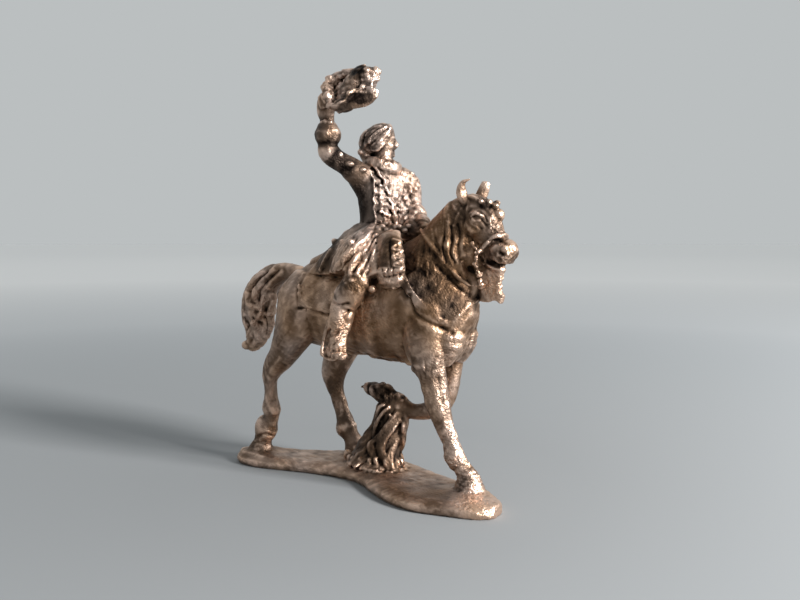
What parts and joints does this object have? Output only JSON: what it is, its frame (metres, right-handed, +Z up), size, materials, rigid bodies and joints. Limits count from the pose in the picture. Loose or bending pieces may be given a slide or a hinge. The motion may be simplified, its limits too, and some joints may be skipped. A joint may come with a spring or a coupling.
{
  "type": "equestrian statuette",
  "caption": "Small cast metal statuette of a mounted officer waving a three-cornered hat, horse at a walk on an irregular base.",
  "frame": {"origin": "on the flat underside of the base, below the middle of the horse", "axes": "+Z up, +X towards the horse's front, +Y towards the horse's left side"},
  "size_m": [0.047, 0.0187, 0.0554],
  "materials": {
    "white_metal": "darkened cast white metal, satin, bright on the raised edges"
  },
  "bodies": {
    "root": {"statuette": "white_metal"}
  },
  "joints": []
}
